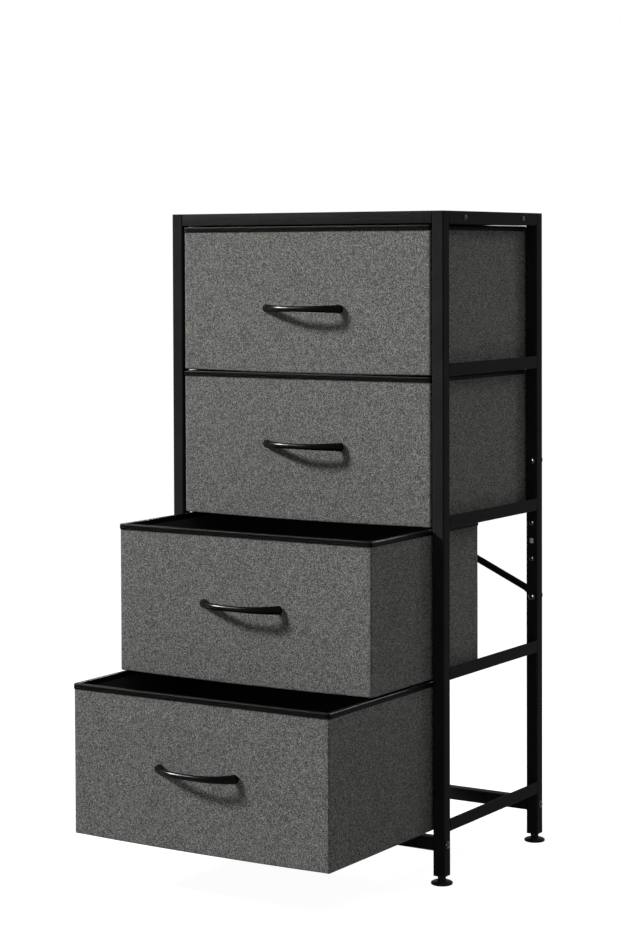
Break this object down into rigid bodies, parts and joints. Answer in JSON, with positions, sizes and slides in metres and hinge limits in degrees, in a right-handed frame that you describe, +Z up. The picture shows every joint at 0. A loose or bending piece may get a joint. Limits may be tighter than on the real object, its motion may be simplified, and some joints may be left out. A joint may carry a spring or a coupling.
{
  "type": "fabric drawer dresser",
  "caption": "Narrow free-standing dresser: a black steel tube frame with a board top, open sides and stiffened fabric drawers with bow handles that slide on angle rails.",
  "frame": {"origin": "on the floor under the middle of the frame's footprint, half way between the front and rear posts", "axes": "+Z up, +X to the right as seen from the front, front towards -Y: the drawers open towards -Y"},
  "size_m": [0.462, 0.5991, 0.918],
  "materials": {
    "frame_black": "satin",
    "board_black": "satin",
    "zinc": "satin",
    "fastener_black": "satin",
    "plastic_black": "satin",
    "handle_black": "gloss",
    "drawer_fabric": "matte",
    "binding_black": "matte",
    "base_board_black": "matte",
    "stiffener_board": "matte"
  },
  "bodies": {
    "frame": {"front_left_upper_post": "frame_black", "front_left_lower_post": "frame_black", "front_right_upper_post": "frame_black", "front_right_lower_post": "frame_black", "rear_left_upper_post": "frame_black", "rear_left_lower_post": "frame_black", "rear_right_upper_post": "frame_black", "rear_right_lower_post": "frame_black", "post_splice_inserts": "zinc", "splice_screws": "fastener_black", "post_caps": "plastic_black", "foot_sockets": "plastic_black", "top_board": "board_black", "top_board_screws": "fastener_black", "left_top_rail": "frame_black", "left_drawer_rail_1": "frame_black", "left_drawer_rail_2": "frame_black", "left_drawer_rail_3": "frame_black", "left_drawer_rail_4": "frame_black", "right_top_rail": "frame_black", "right_drawer_rail_1": "frame_black", "right_drawer_rail_2": "frame_black", "right_drawer_rail_3": "frame_black", "right_drawer_rail_4": "frame_black", "front_bottom_tube": "frame_black", "rear_bottom_tube": "frame_black", "rear_brace_rising_right": "frame_black", "rear_brace_rising_left": "frame_black", "brace_rivet": "fastener_black", "bottom_tube_bolts": "fastener_black", "brace_bolts": "fastener_black", "frame_nuts": "fastener_black"},
    "drawer_1": {"drawer_1_fabric_body": "drawer_fabric", "drawer_1_stiffeners": "stiffener_board", "drawer_1_base_board": "base_board_black", "drawer_1_binding": "binding_black", "drawer_1_handle": "handle_black", "drawer_1_handle_screws": "fastener_black"},
    "drawer_2": {"drawer_2_fabric_body": "drawer_fabric", "drawer_2_stiffeners": "stiffener_board", "drawer_2_base_board": "base_board_black", "drawer_2_binding": "binding_black", "drawer_2_handle": "handle_black", "drawer_2_handle_screws": "fastener_black"},
    "drawer_3": {"drawer_3_fabric_body": "drawer_fabric", "drawer_3_stiffeners": "stiffener_board", "drawer_3_base_board": "base_board_black", "drawer_3_binding": "binding_black", "drawer_3_handle": "handle_black", "drawer_3_handle_screws": "fastener_black"},
    "drawer_4": {"drawer_4_fabric_body": "drawer_fabric", "drawer_4_stiffeners": "stiffener_board", "drawer_4_base_board": "base_board_black", "drawer_4_binding": "binding_black", "drawer_4_handle": "handle_black", "drawer_4_handle_screws": "fastener_black"},
    "front_left_foot": {"front_left_foot": "plastic_black"},
    "front_right_foot": {"front_right_foot": "plastic_black"},
    "rear_left_foot": {"rear_left_foot": "plastic_black"},
    "rear_right_foot": {"rear_right_foot": "plastic_black"}
  },
  "joints": [
    {"name": "drawer_1_slide", "type": "slide", "parent": "frame", "child": "drawer_1", "axis": [0, -1, 0], "range_m": [0, 0.275]},
    {"name": "drawer_2_slide", "type": "slide", "parent": "frame", "child": "drawer_2", "axis": [0, -1, 0], "range_m": [0, 0.275]},
    {"name": "drawer_3_slide", "type": "slide", "parent": "frame", "child": "drawer_3", "axis": [0, -1, 0], "range_m": [-0.1578, 0.1172]},
    {"name": "drawer_4_slide", "type": "slide", "parent": "frame", "child": "drawer_4", "axis": [0, -1, 0], "range_m": [-0.2632, 0.0118]},
    {"name": "front_left_foot_turn", "type": "hinge", "parent": "frame", "child": "front_left_foot", "pos_m": [-0.216, -0.139, 0.012], "axis": [0, 0, -1], "range_deg": [0, 4320]},
    {"name": "front_right_foot_turn", "type": "hinge", "parent": "frame", "child": "front_right_foot", "pos_m": [0.216, -0.139, 0.012], "axis": [0, 0, -1], "range_deg": [0, 4320]},
    {"name": "rear_left_foot_turn", "type": "hinge", "parent": "frame", "child": "rear_left_foot", "pos_m": [-0.216, 0.139, 0.012], "axis": [0, 0, -1], "range_deg": [0, 4320]},
    {"name": "rear_right_foot_turn", "type": "hinge", "parent": "frame", "child": "rear_right_foot", "pos_m": [0.216, 0.139, 0.012], "axis": [0, 0, -1], "range_deg": [0, 4320]}
  ]
}
